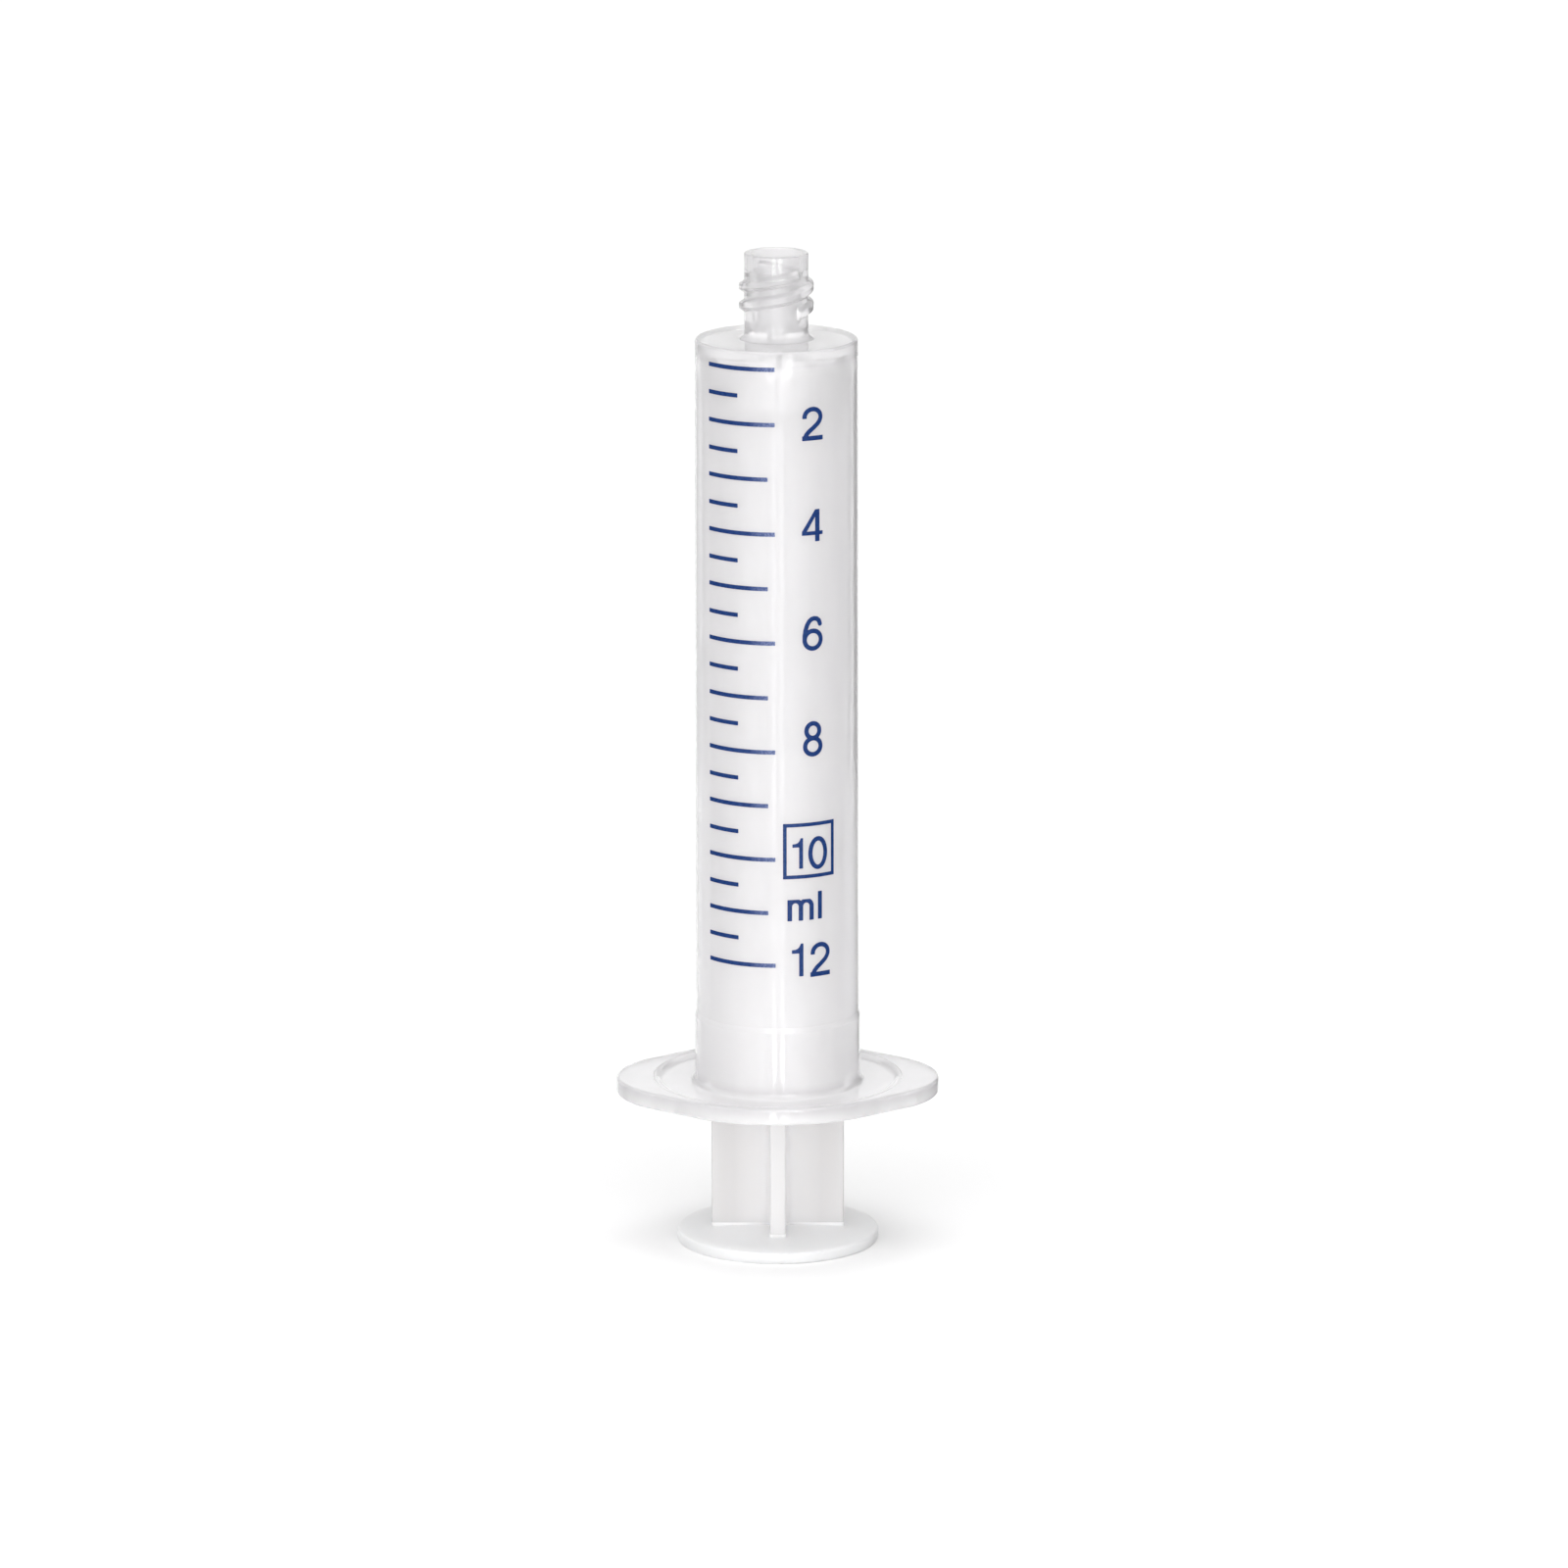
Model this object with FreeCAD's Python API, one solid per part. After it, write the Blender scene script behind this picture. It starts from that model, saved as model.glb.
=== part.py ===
import FreeCAD, Part
import math
import os

# Two-piece syringe, 12 ml graduated, with a threaded lock fitting (female cone).
# Millimetres. +Z runs from the thumb rest up to the mouth of the fitting, the
# origin is the centre of the thumb rest's underside, X is the long way of the
# finger flange and the printed side faces -Y. The plunger is fully home.

V = FreeCAD.Vector

# ---------------------------------------------------------------- dimensions
# plunger: thumb rest
THUMB_R = 10.65
THUMB_RIM_Z = 1.25        # upper face at its rim
THUMB_CROWN_Z = 1.60      # upper face at its centre, slightly crowned
THUMB_EDGE = 0.28
# plunger: rod of four ribs
MAIN_WEB_W = 14.0         # across, along X
MAIN_WEB_T = 1.50
CROSS_WEB_W = 10.8        # across, along Y
CROSS_WEB_T = 1.70
WEB_ROOT = 0.55           # fillet in the four inner corners
WEB_EDGE = 0.25           # rounding of the long outer edges
# plunger: head
HEAD_TOP_Z = 95.15
HEAD_LOW_Z = 90.45
HEAD_R = 7.55
HEAD_WALL = 1.25
HEAD_END = 1.50
LIP_R = 7.73              # crest of both sealing lips
LIP_H = 0.70
LIP_LOW_Z = 90.60
LIP_HIGH_Z = 94.10

# barrel: bore
BORE_R = 7.77
BORE_END_Z = 95.25
BORE_LOW_R = 8.13         # wider mouth of the bore, through the flange
BORE_STEP_Z0, BORE_STEP_Z1 = 24.45, 25.25
BORE_LEAD = 0.40
# barrel: outside
OUT_LOW_R = 8.70
OUT_STEP_Z0, OUT_STEP_Z1 = 24.55, 25.10
OUT_DRAFT_LOW_R = 8.575
OUT_DRAFT_TOP_R = 8.50
SHOULDER_Z = 96.95
SHOULDER_EDGE = 0.35
# barrel: finger flange, a rounded lozenge
FL_Z0, FL_Z1 = 16.05, 17.80
FL_MID_R = 14.20          # round middle
FL_END_R = 9.40           # round ends
FL_HALF = 17.00           # half the length
FL_EDGE = 0.30
DISH_R = 12.80            # shallow ring-shaped dish round the barrel's foot
DISH_DEPTH = 0.40
FOOT_FILLET = 0.60
# barrel: threaded neck
NECK_R = 3.35             # core of the thread
NECK_TOP_Z = 105.92
NECK_FILLET = 0.80
NECK_EDGE = 0.15
MOUTH_R = 2.55            # plain mouth above the cone
MOUTH_LEDGE_Z = 104.02    # ledge where the cone begins
MOUTH_CHAMFER = 0.08
CONE_R = 2.145            # 6 % cone, radius at the ledge
CONE_END_Z = 97.72
CONE_TAPER = 0.06
ORIFICE_R = 0.80
# thread: two starts, right hand
THREAD_R = 3.90
THREAD_LEAD = 4.00
THREAD_Z = 100.40         # centre of the first start at angle 0
THREAD_A0, THREAD_A1 = -45.0, 307.0
THREAD_ROOT_W = 1.35
THREAD_CREST_W = 0.66

AX = V(0, 0, 1)
O = V(0, 0, 0)


def line(a, b):
    return Part.makeLine(V(a[0], 0, a[1]), V(b[0], 0, b[1]))


def poly_rounded(pts):
    """Closed wire in the XZ half-plane. A point is (r, z) or (r, z, fillet)."""
    n = len(pts)
    starts, ends, arcs = [None] * n, [None] * n, [None] * n
    for i in range(n):
        p = V(pts[i][0], 0, pts[i][1])
        rad = pts[i][2] if len(pts[i]) > 2 else 0.0
        if rad <= 0:
            starts[i] = ends[i] = p
            continue
        a = V(pts[i - 1][0], 0, pts[i - 1][1])
        b = V(pts[(i + 1) % n][0], 0, pts[(i + 1) % n][1])
        u = (a - p).normalize()
        v = (b - p).normalize()
        half = math.acos(max(-1.0, min(1.0, u.dot(v)))) / 2.0
        d = rad / math.tan(half)
        s = p + u * d
        e = p + v * d
        w = (u + v).normalize()
        m = p + w * (rad / math.sin(half) - rad)
        starts[i], ends[i] = s, e
        arcs[i] = Part.Arc(s, m, e).toShape()
    edges = []
    for i in range(n):
        if arcs[i] is not None:
            edges.append(arcs[i])
        j = (i + 1) % n
        if (ends[i] - starts[j]).Length > 1e-7:
            edges.append(Part.makeLine(ends[i], starts[j]))
    return Part.Wire(Part.__sortEdges__(edges))


def revolve(pts):
    return Part.Face(poly_rounded(pts)).revolve(O, AX, 360)


# ------------------------------------------------------------------- plunger
# thumb rest: a disc whose upper face is slightly crowned
mid_r = THUMB_R * 0.5
crown = (THUMB_CROWN_Z - THUMB_RIM_Z)
p0 = V(0, 0, 0)
p1 = V(THUMB_R - THUMB_EDGE, 0, 0)
p2 = V(THUMB_R, 0, THUMB_EDGE)
p3 = V(THUMB_R, 0, THUMB_RIM_Z - THUMB_EDGE)
p4 = V(THUMB_R - THUMB_EDGE, 0, THUMB_RIM_Z)
p5 = V(0, 0, THUMB_CROWN_Z)
k = THUMB_EDGE * (1 - math.sqrt(0.5))
low_arc = Part.Arc(p1, V(THUMB_R - k, 0, k), p2).toShape()
top_arc = Part.Arc(p3, V(THUMB_R - k, 0, THUMB_RIM_Z - k), p4).toShape()
crown_mid = V(mid_r, 0, THUMB_RIM_Z + crown * (1 - (mid_r / (THUMB_R - THUMB_EDGE)) ** 2))
crown_arc = Part.Arc(p4, crown_mid, p5).toShape()
thumb = Part.Face(Part.Wire([Part.makeLine(p0, p1), low_arc, Part.makeLine(p2, p3),
                             top_arc, crown_arc, Part.makeLine(p5, p0)])).revolve(O, AX, 360)

# rod: a cross section with rounded outer edges and filleted inner corners
hx, hy = MAIN_WEB_W / 2, CROSS_WEB_W / 2
tx, ty = CROSS_WEB_T / 2, MAIN_WEB_T / 2
quarter = [(hx, -ty, WEB_EDGE), (hx, ty, WEB_EDGE), (tx, ty, WEB_ROOT), (tx, hy, WEB_EDGE)]
cross = []
cross += [(hx, -ty, WEB_EDGE), (hx, ty, WEB_EDGE), (tx, ty, WEB_ROOT)]
cross += [(tx, hy, WEB_EDGE), (-tx, hy, WEB_EDGE), (-tx, ty, WEB_ROOT)]
cross += [(-hx, ty, WEB_EDGE), (-hx, -ty, WEB_EDGE), (-tx, -ty, WEB_ROOT)]
cross += [(-tx, -hy, WEB_EDGE), (tx, -hy, WEB_EDGE), (tx, -ty, WEB_ROOT)]
wire = poly_rounded(cross)
wire.rotate(O, V(1, 0, 0), -90)      # from the XZ plane into the XY plane
ROD_Z0 = 0.80
ROD_Z1 = HEAD_TOP_Z - HEAD_END + 0.5
wire.translate(V(0, 0, ROD_Z0))
rod = Part.Face(wire).extrude(V(0, 0, ROD_Z1 - ROD_Z0))

# head: a cup open downwards, closed at the top, with two sealing lips
lip_r0 = HEAD_R - 0.02


def lip(z0):
    return [(HEAD_R, z0), (LIP_R, z0 + 0.22, 0.08), (LIP_R, z0 + LIP_H - 0.22, 0.08), (HEAD_R, z0 + LIP_H)]


head_pts = [(0, HEAD_TOP_Z - HEAD_END), (HEAD_R - HEAD_WALL, HEAD_TOP_Z - HEAD_END, 0.5),
            (HEAD_R - HEAD_WALL, HEAD_LOW_Z, 0.15), (HEAD_R - 0.15, HEAD_LOW_Z, 0.10)]
head_pts += lip(LIP_LOW_Z)
head_pts += lip(LIP_HIGH_Z)
head_pts += [(HEAD_R, HEAD_TOP_Z, 0.25), (0, HEAD_TOP_Z)]
head = revolve(head_pts)

plunger = thumb.fuse([rod, head]).removeSplitter()

# -------------------------------------------------------------------- barrel
# outer body of the tube and the neck, turned about the axis
fillet_c = NECK_FILLET
body_pts = [(0, FL_Z0), (OUT_LOW_R, FL_Z0), (OUT_LOW_R, OUT_STEP_Z0, 0.15),
            (OUT_DRAFT_LOW_R, OUT_STEP_Z1, 0.15), (OUT_DRAFT_TOP_R, SHOULDER_Z, SHOULDER_EDGE),
            (NECK_R, SHOULDER_Z, NECK_FILLET), (NECK_R, NECK_TOP_Z, NECK_EDGE), (0, NECK_TOP_Z)]
body = revolve(body_pts)

# finger flange: hull of a middle circle and two end circles
cx = FL_HALF - FL_END_R
alpha = math.acos((FL_MID_R - FL_END_R) / cx)
ca, sa = math.cos(alpha), math.sin(alpha)


def on_mid(a):
    return V(FL_MID_R * math.cos(a), FL_MID_R * math.sin(a), 0)


def on_end(a, s):
    return V(s * (cx + FL_END_R * math.cos(a)), FL_END_R * math.sin(a), 0)


m1, m2 = on_mid(alpha), on_mid(math.pi - alpha)
m3, m4 = on_mid(math.pi + alpha), on_mid(-alpha)
e1, e4 = on_end(alpha, 1), on_end(-alpha, 1)
e2, e3 = on_end(alpha, -1), on_end(-alpha, -1)
flange_wire = Part.Wire([
    Part.Arc(m1, V(0, FL_MID_R, 0), m2).toShape(),
    Part.makeLine(m2, e2),
    Part.Arc(e2, V(-FL_HALF, 0, 0), e3).toShape(),
    Part.makeLine(e3, m3),
    Part.Arc(m3, V(0, -FL_MID_R, 0), m4).toShape(),
    Part.makeLine(m4, e4),
    Part.Arc(e4, V(FL_HALF, 0, 0), e1).toShape(),
    Part.makeLine(e1, m1),
])
flange_wire.translate(V(0, 0, FL_Z0))
flange = Part.Face(flange_wire).extrude(V(0, 0, FL_Z1 - FL_Z0))
rim_edges = [e for e in flange.Edges
             if abs(e.BoundBox.ZMin - e.BoundBox.ZMax) < 1e-6]
flange = flange.makeFillet(FL_EDGE, rim_edges)

# shallow dish in the flange's upper face, running up into the tube's foot
floor_z = FL_Z1 - DISH_DEPTH
dish_pts = [(OUT_LOW_R - 0.3, floor_z), (DISH_R - 0.55, floor_z, 0.45), (DISH_R, FL_Z1, 0.25),
            (DISH_R + 0.6, FL_Z1), (DISH_R + 0.6, FL_Z1 + 1.0), (OUT_LOW_R - 0.3, FL_Z1 + 1.0)]
flange = flange.cut(revolve(dish_pts))

# foot fillet between the dish floor and the tube
ff = FOOT_FILLET
f_a = V(OUT_LOW_R - 0.25, 0, floor_z - 0.2)
f_b = V(OUT_LOW_R + ff, 0, floor_z - 0.2)
f_c = V(OUT_LOW_R + ff, 0, floor_z)
f_d = V(OUT_LOW_R, 0, floor_z + ff)
f_e = V(OUT_LOW_R - 0.25, 0, floor_z + ff)
f_m = V(OUT_LOW_R + ff - ff * math.sqrt(0.5), 0, floor_z + ff - ff * math.sqrt(0.5))
foot = Part.Face(Part.Wire([Part.makeLine(f_a, f_b), Part.makeLine(f_b, f_c),
                            Part.Arc(f_c, f_m, f_d).toShape(), Part.makeLine(f_d, f_e),
                            Part.makeLine(f_e, f_a)])).revolve(O, AX, 360)

barrel = body.fuse([flange, foot])

# thread: two starts of a trapezoid ridge with rounded ends
def ridge(turn):
    span = THREAD_A1 - THREAD_A0
    height = THREAD_LEAD * span / 360.0
    z0 = THREAD_Z + THREAD_LEAD * THREAD_A0 / 360.0
    r_in = NECK_R - 0.25
    slope = (THREAD_ROOT_W - THREAD_CREST_W) / 2.0 / (THREAD_R - NECK_R)
    w_in = THREAD_ROOT_W / 2.0 + slope * 0.25
    w_out = THREAD_CREST_W / 2.0
    helix = Part.makeHelix(THREAD_LEAD, height, NECK_R)
    prof = Part.makePolygon([V(r_in, 0, -w_in), V(THREAD_R, 0, -w_out), V(THREAD_R, 0, w_out),
                             V(r_in, 0, w_in), V(r_in, 0, -w_in)])
    shell = Part.Wire(helix).makePipeShell([prof], True, True)
    s = Part.Solid(Part.Shell(shell.Faces)) if shell.ShapeType != "Solid" else shell
    if s.Volume < 0:
        s.reverse()
    parts = [s]
    for a_deg, zz in ((0.0, 0.0), (span, height)):
        cone = Part.makeCone(w_in - 0.004, w_out - 0.004, THREAD_R - 0.004 - r_in,
                             V(r_in, 0, 0), V(1, 0, 0))
        cone.rotate(O, AX, a_deg)
        cone.translate(V(0, 0, zz))
        parts.append(cone)
    out = parts[0].fuse(parts[1:])
    out.translate(V(0, 0, z0))
    out.rotate(O, AX, THREAD_A0 + turn)
    return out


for turn in (0.0, 180.0):
    barrel = barrel.fuse(ridge(turn))

# bore, from the flange to the closed end
bore_pts = [(0, FL_Z0 - 1.0), (BORE_LOW_R + BORE_LEAD, FL_Z0 - 1.0), (BORE_LOW_R + BORE_LEAD, FL_Z0),
            (BORE_LOW_R, FL_Z0 + BORE_LEAD, 0.2), (BORE_LOW_R, BORE_STEP_Z0, 0.2),
            (BORE_R, BORE_STEP_Z1, 0.2), (BORE_R, BORE_END_Z, 0.20), (0, BORE_END_Z)]
# socket of the fitting: plain mouth, 6 % cone, and the orifice through to the bore
cone_end_z = CONE_END_Z
cone_end_r = CONE_R - CONE_TAPER / 2.0 * (MOUTH_LEDGE_Z - CONE_END_Z)
socket_pts = [(0, BORE_END_Z - 0.5), (ORIFICE_R, BORE_END_Z - 0.5), (ORIFICE_R, cone_end_z, 0.15),
              (cone_end_r, cone_end_z, 0.25), (CONE_R, MOUTH_LEDGE_Z, 0.12), (MOUTH_R, MOUTH_LEDGE_Z, 0.10),
              (MOUTH_R, NECK_TOP_Z - MOUTH_CHAMFER), (MOUTH_R + MOUTH_CHAMFER, NECK_TOP_Z),
              (MOUTH_R + MOUTH_CHAMFER, NECK_TOP_Z + 1.0), (0, NECK_TOP_Z + 1.0)]
barrel = barrel.cut(revolve(bore_pts))
barrel = barrel.cut(revolve(socket_pts))
barrel = barrel.removeSplitter()

# ------------------------------------------------------------------- writing
os.makedirs("parts", exist_ok=True)
for name, shape in (("barrel", barrel), ("plunger", plunger)):
    solids = shape.Solids
    bb = shape.BoundBox
    print(name, shape.ShapeType, "solids", len(solids), "valid", shape.isValid(),
          "volume", round(shape.Volume, 2), "faces", len(shape.Faces),
          "box", [round(v, 3) for v in (bb.XMin, bb.YMin, bb.ZMin, bb.XMax, bb.YMax, bb.ZMax)])
    (solids[0] if len(solids) == 1 else shape).exportStep("parts/" + name + ".step")
common = barrel.common(plunger)
print("barrel x plunger overlap", round(common.Volume, 6))
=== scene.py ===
import bpy
import math
import numpy as np
from mathutils import Matrix, Vector


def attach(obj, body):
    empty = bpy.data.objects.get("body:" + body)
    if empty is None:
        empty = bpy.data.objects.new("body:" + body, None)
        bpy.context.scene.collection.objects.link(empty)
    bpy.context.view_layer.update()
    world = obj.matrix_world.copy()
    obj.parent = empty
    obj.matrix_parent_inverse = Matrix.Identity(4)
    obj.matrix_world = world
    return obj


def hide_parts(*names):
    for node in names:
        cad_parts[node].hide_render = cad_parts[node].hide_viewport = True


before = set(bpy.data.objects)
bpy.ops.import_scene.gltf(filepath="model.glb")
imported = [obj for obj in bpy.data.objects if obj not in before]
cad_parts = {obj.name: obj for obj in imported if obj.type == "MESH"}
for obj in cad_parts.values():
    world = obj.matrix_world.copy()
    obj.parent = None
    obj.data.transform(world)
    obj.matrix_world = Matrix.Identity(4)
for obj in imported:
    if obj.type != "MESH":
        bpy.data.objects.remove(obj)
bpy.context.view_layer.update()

MM = 0.001
scene = bpy.context.scene

# --------------------------------------------------------------------------
# camera: the photograph's viewing angle
# --------------------------------------------------------------------------
cam_data = bpy.data.cameras.new("camera")
cam_data.sensor_fit = "HORIZONTAL"
cam_data.sensor_width = 36.0
cam_data.lens = 9752.0 / 1600.0 * 36.0
cam_data.clip_start = 0.02
cam_data.clip_end = 60.0
camera = bpy.data.objects.new("camera", cam_data)
scene.collection.objects.link(camera)
camera.matrix_world = (Matrix.Translation((0.72 * MM, -975.9 * MM, 278.8 * MM))
                       @ Matrix.Rotation(math.radians(90.0 - 13.23), 4, "X")
                       @ Matrix.Rotation(math.radians(-0.093), 4, "Z"))
scene.camera = camera

scene.view_settings.view_transform = "Standard"
scene.view_settings.look = "None"
scene.view_settings.exposure = 0.0
scene.view_settings.gamma = 1.0
scene.cycles.max_bounces = 24
scene.cycles.diffuse_bounces = 8
scene.cycles.glossy_bounces = 12
scene.cycles.transmission_bounces = 24
scene.cycles.transparent_max_bounces = 16
scene.cycles.use_denoising = True

# --------------------------------------------------------------------------
# dimensions of the two mouldings, millimetres, as in the construction
# --------------------------------------------------------------------------
BORE_R, BORE_END_Z = 7.77, 95.25
BORE_LOW_R, BORE_STEP_Z0, BORE_STEP_Z1, BORE_LEAD = 8.13, 24.45, 25.25, 0.40
OUT_LOW_R, OUT_STEP_Z0, OUT_STEP_Z1 = 8.70, 24.55, 25.10
OUT_DRAFT_LOW_R, OUT_DRAFT_TOP_R = 8.575, 8.50
SHOULDER_Z, SHOULDER_EDGE = 96.95, 0.35
FL_Z0, FL_Z1, FL_MID_R, FL_END_R, FL_HALF, FL_EDGE = 16.05, 17.80, 14.20, 9.40, 17.00, 0.30
DISH_R, DISH_DEPTH, FOOT_FILLET = 12.80, 0.40, 0.60
NECK_R, NECK_TOP_Z, NECK_FILLET, NECK_EDGE = 3.35, 105.92, 0.80, 0.15
MOUTH_R, MOUTH_LEDGE_Z, MOUTH_CHAMFER = 2.55, 104.02, 0.08
CONE_R, CONE_END_Z, CONE_TAPER, ORIFICE_R = 2.145, 97.72, 0.06, 0.80
THREAD_R, THREAD_LEAD, THREAD_Z = 3.90, 4.00, 100.40
THREAD_A0, THREAD_A1 = -45.0, 307.0
THREAD_ROOT_W, THREAD_CREST_W = 1.35, 0.66


def out_r(z):
    """Outer radius of the drafted tube at height z."""
    t = (z - OUT_STEP_Z1) / (SHOULDER_Z - OUT_STEP_Z1)
    return OUT_DRAFT_LOW_R + (OUT_DRAFT_TOP_R - OUT_DRAFT_LOW_R) * t


# --------------------------------------------------------------------------
# mesh helpers
# --------------------------------------------------------------------------
def link(obj):
    scene.collection.objects.link(obj)
    return obj


def mesh_object(name, verts_mm, faces, smooth=True):
    me = bpy.data.meshes.new(name)
    me.from_pydata((np.asarray(verts_mm, float) * MM).tolist(), [], faces)
    me.validate(verbose=False)
    me.update()
    if smooth:
        me.polygons.foreach_set("use_smooth", np.ones(len(me.polygons), bool))
    return link(bpy.data.objects.new(name, me))


def rounded(pts, seg=5):
    """Corner points (r, z, fillet) of an open line, as a list of (r, z)."""
    out = []
    n = len(pts)
    for i, p in enumerate(pts):
        rad = p[2] if len(p) > 2 else 0.0
        if rad <= 0 or i in (0, n - 1):
            out.append((p[0], p[1]))
            continue
        c = np.array(p[:2], float)
        a = np.array(pts[i - 1][:2], float) - c
        b = np.array(pts[i + 1][:2], float) - c
        a /= np.linalg.norm(a)
        b /= np.linalg.norm(b)
        half = math.acos(max(-1.0, min(1.0, float(a @ b)))) / 2.0
        d = rad / math.tan(half)
        w = (a + b) / np.linalg.norm(a + b)
        centre = c + w * (rad / math.sin(half))
        s, e = c + a * d - centre, c + b * d - centre
        a0, a1 = math.atan2(s[1], s[0]), math.atan2(e[1], e[0])
        da = (a1 - a0 + math.pi) % (2 * math.pi) - math.pi
        for k in range(seg + 1):
            t = a0 + da * k / seg
            out.append((centre[0] + rad * math.cos(t), centre[1] + rad * math.sin(t)))
    return out


def spread(a, b, n, ends=False):
    """n points between a and b, without the ends."""
    return [(a[0] + (b[0] - a[0]) * k / (n + 1), a[1] + (b[1] - a[1]) * k / (n + 1)) for k in range(1, n + 1)]


def subdivide(line, step):
    out = []
    for a, b in zip(line[:-1], line[1:]):
        out.append(a)
        n = int(math.hypot(b[0] - a[0], b[1] - a[1]) / step)
        out += spread(a, b, n)
    out.append(line[-1])
    return out


# --------------------------------------------------------------------------
# barrel: one closed surface, built as rings round the axis
# --------------------------------------------------------------------------
N_ANG = 288
ang = np.arange(N_ANG) * (2 * math.pi / N_ANG)


def flange_outline(a):
    """Distance from the axis to the rounded lozenge's edge, in direction a."""
    cx = FL_HALF - FL_END_R
    alpha = math.acos((FL_MID_R - FL_END_R) / cx)
    a = np.abs((a + math.pi) % (2 * math.pi) - math.pi)
    a = np.where(a > math.pi / 2, math.pi - a, a)
    tip = math.atan2(FL_END_R * math.sin(alpha), cx + FL_END_R * math.cos(alpha))
    end = cx * np.cos(a) + np.sqrt(np.maximum(FL_END_R ** 2 - (cx * np.sin(a)) ** 2, 0))
    flat = FL_MID_R / np.cos(np.minimum(a - alpha, 0))
    return np.where(a < tip, end, np.where(a < alpha, flat, FL_MID_R))


def thread_height(a, z):
    """Height of the two-start ridge over the neck's core, at angle a (rad) and height z."""
    a_deg = np.degrees(a)
    span = THREAD_A1 - THREAD_A0
    best = np.zeros_like(a_deg + z)
    per_deg = math.pi / 180.0 * 0.5 * (NECK_R + THREAD_R)
    for turn in (0.0, 180.0):
        t = (a_deg - THREAD_A0 - turn) % 360.0
        over = np.where(t > span, np.minimum(t - span, 360.0 - t), 0.0) * per_deg
        t_use = np.where(t <= span, t, np.where(t - span < 360.0 - t, span, 0.0))
        zc = THREAD_Z + THREAD_LEAD * (THREAD_A0 + t_use) / 360.0
        d = np.sqrt((z - zc) ** 2 + over ** 2)
        w0, w1 = THREAD_CREST_W / 2.0, THREAD_ROOT_W / 2.0
        k = np.clip((w1 + 0.06 - d) / (w1 + 0.06 - w0 + 0.06), 0.0, 1.0)
        k = 0.35 * k + 0.65 * (k * k * (3 - 2 * k))
        best = np.maximum(best, k * (THREAD_R - NECK_R))
    return best


rings = []     # each ring is (radius per angle, height)


def ring(r, z):
    rings.append((np.full(N_ANG, float(r)) if np.isscalar(r) else np.asarray(r, float), float(z)))


rho = flange_outline(ang)
# underside of the flange, from the bore outwards
inner = BORE_LOW_R + BORE_LEAD
for t in (0.0, 0.02, 0.15, 0.35, 0.55, 0.75, 0.9, 0.97):
    ring(inner + (rho - FL_EDGE - inner) * t, FL_Z0)
# rim
for k in range(0, 7):
    q = math.pi / 2 * k / 6
    ring(rho - FL_EDGE * (1 - math.sin(q)), FL_Z0 + FL_EDGE * (1 - math.cos(q)))
for t in (0.25, 0.5, 0.75):
    ring(rho, FL_Z0 + FL_EDGE + (FL_Z1 - FL_Z0 - 2 * FL_EDGE) * t)
for k in range(0, 7):
    q = math.pi / 2 * k / 6
    ring(rho - FL_EDGE * (1 - math.cos(q)), FL_Z1 - FL_EDGE * (1 - math.sin(q)))
# upper face in to the dish, the dish and the tube's foot
dish = rounded([(DISH_R + 0.30, FL_Z1), (DISH_R, FL_Z1, 0.95), (DISH_R - 0.55, FL_Z1 - DISH_DEPTH, 0.95),
                (OUT_LOW_R, FL_Z1 - DISH_DEPTH, FOOT_FILLET), (OUT_LOW_R, 20.0)], 7)
for t in (0.04, 0.3, 0.6, 0.85, 0.97):
    ring(rho - FL_EDGE + (dish[0][0] - rho + FL_EDGE) * t, FL_Z1)
for r, z in subdivide(dish[:-1], 0.7):
    ring(r, z)
# tube
tube = rounded([(OUT_LOW_R, FL_Z1 - DISH_DEPTH + FOOT_FILLET + 0.2), (OUT_LOW_R, OUT_STEP_Z0, 0.15), (OUT_DRAFT_LOW_R, OUT_STEP_Z1, 0.15),
                (OUT_DRAFT_TOP_R, SHOULDER_Z, SHOULDER_EDGE), (NECK_R, SHOULDER_Z, NECK_FILLET), (NECK_R, 98.60)], 8)
for r, z in subdivide(tube, 3.0):
    ring(r, z)
# threaded neck
for z in np.arange(98.66, 105.34, 0.065):
    ring(NECK_R + thread_height(ang, z), z)
# rim of the mouth, lead-in, cone, orifice, end of the bore, bore
cone_end_r = CONE_R - CONE_TAPER / 2.0 * (MOUTH_LEDGE_Z - CONE_END_Z)
inside = rounded([(NECK_R, 105.40), (NECK_R, NECK_TOP_Z, NECK_EDGE), (MOUTH_R + MOUTH_CHAMFER, NECK_TOP_Z, 0.03),
                  (MOUTH_R, NECK_TOP_Z - MOUTH_CHAMFER, 0.03), (MOUTH_R, MOUTH_LEDGE_Z, 0.10), (CONE_R, MOUTH_LEDGE_Z, 0.12),
                  (cone_end_r, CONE_END_Z, 0.25), (ORIFICE_R, CONE_END_Z, 0.15), (ORIFICE_R, BORE_END_Z), (BORE_R, BORE_END_Z, 0.20),
                  (BORE_R, BORE_STEP_Z1, 0.2), (BORE_LOW_R, BORE_STEP_Z0, 0.2), (BORE_LOW_R, FL_Z0 + BORE_LEAD, 0.2),
                  (BORE_LOW_R + BORE_LEAD, FL_Z0)], 6)
for r, z in subdivide(inside, 3.0)[:-1]:
    ring(r, z)

R = np.array([r for r, z in rings])
Z = np.array([z for r, z in rings])
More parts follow.
